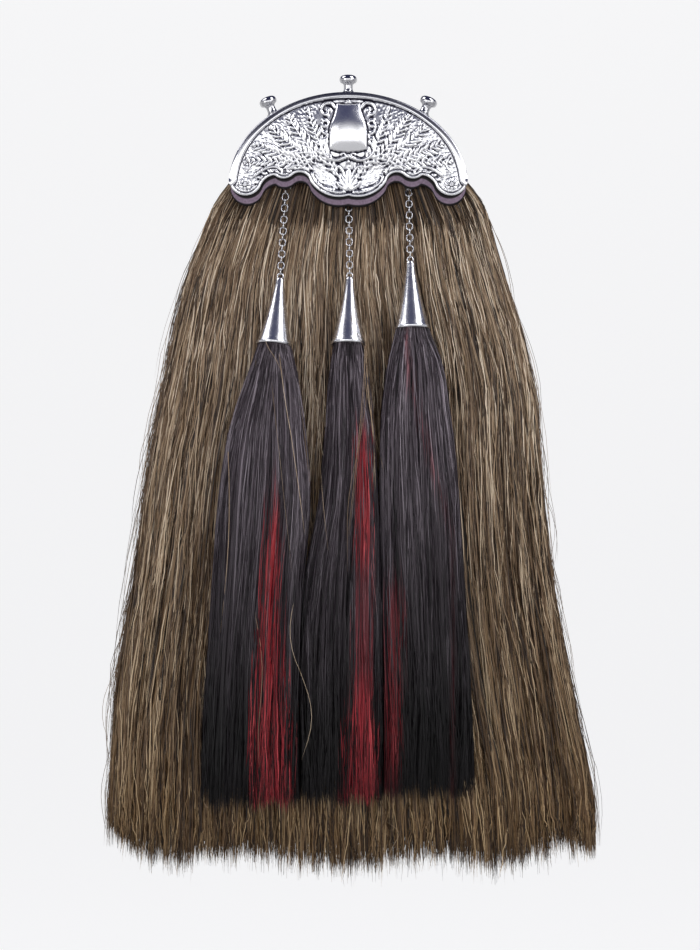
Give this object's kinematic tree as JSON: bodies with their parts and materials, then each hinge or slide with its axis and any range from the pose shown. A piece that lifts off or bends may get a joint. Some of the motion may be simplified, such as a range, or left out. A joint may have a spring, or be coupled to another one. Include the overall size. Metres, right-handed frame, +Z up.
{
  "type": "sporran pouch",
  "caption": "Highland-dress pouch: an embossed metal cantle with knobs over a long skirt of brown horsehair, black hair tassels in metal cones on chains, and a leather pocket behind.",
  "frame": {"origin": "on the rear face of the leather back, midway between the strap loops, at the height of the strap that holds the sporran up", "axes": "+Z up, the front with the cantle and tassels faces -Y, and +X is to the right of someone who looks at the front"},
  "size_m": [0.3095, 0.0688, 0.5081],
  "materials": {
    "silver": "polished, with dark recesses in the relief",
    "lip_leather": "smooth plum leather with a dark cut edge",
    "back_leather": "fine grained, stitched near its edges",
    "brown_hair": "straight horsehair, mixed fawn, brown and grey",
    "black_hair": "straight black horsehair with a few dark red strands"
  },
  "bodies": {
    "root": {"cantle": "silver", "cantle_backing": "lip_leather", "knob_left": "silver", "knob_centre": "silver", "knob_right": "silver", "back_panel": "back_leather", "rear_pocket": "back_leather", "hair_skirt": "brown_hair", "strap_loop_left": "back_leather", "strap_loop_right": "back_leather", "chain_eye_left": "silver", "chain_left_link_1": "silver", "chain_left_link_2": "silver", "chain_left_link_3": "silver", "chain_left_link_4": "silver", "chain_left_link_5": "silver", "chain_left_link_6": "silver", "chain_left_link_7": "silver", "chain_left_link_8": "silver", "chain_left_link_9": "silver", "chain_left_link_10": "silver", "chain_left_link_11": "silver", "chain_left_link_12": "silver", "chain_left_link_13": "silver", "chain_left_link_14": "silver", "tassel_cone_left": "silver", "tassel_hair_left": "black_hair", "chain_eye_centre": "silver", "chain_centre_link_1": "silver", "chain_centre_link_2": "silver", "chain_centre_link_3": "silver", "chain_centre_link_4": "silver", "chain_centre_link_5": "silver", "chain_centre_link_6": "silver", "chain_centre_link_7": "silver", "chain_centre_link_8": "silver", "chain_centre_link_9": "silver", "chain_centre_link_10": "silver", "chain_centre_link_11": "silver", "chain_centre_link_12": "silver", "chain_centre_link_13": "silver", "tassel_cone_centre": "silver", "tassel_hair_centre": "black_hair", "chain_eye_right": "silver", "chain_right_link_1": "silver", "chain_right_link_2": "silver", "chain_right_link_3": "silver", "chain_right_link_4": "silver", "chain_right_link_5": "silver", "chain_right_link_6": "silver", "chain_right_link_7": "silver", "chain_right_link_8": "silver", "chain_right_link_9": "silver", "chain_right_link_10": "silver", "chain_right_link_11": "silver", "chain_right_link_12": "silver", "tassel_cone_right": "silver", "tassel_hair_right": "black_hair"}
  },
  "joints": []
}
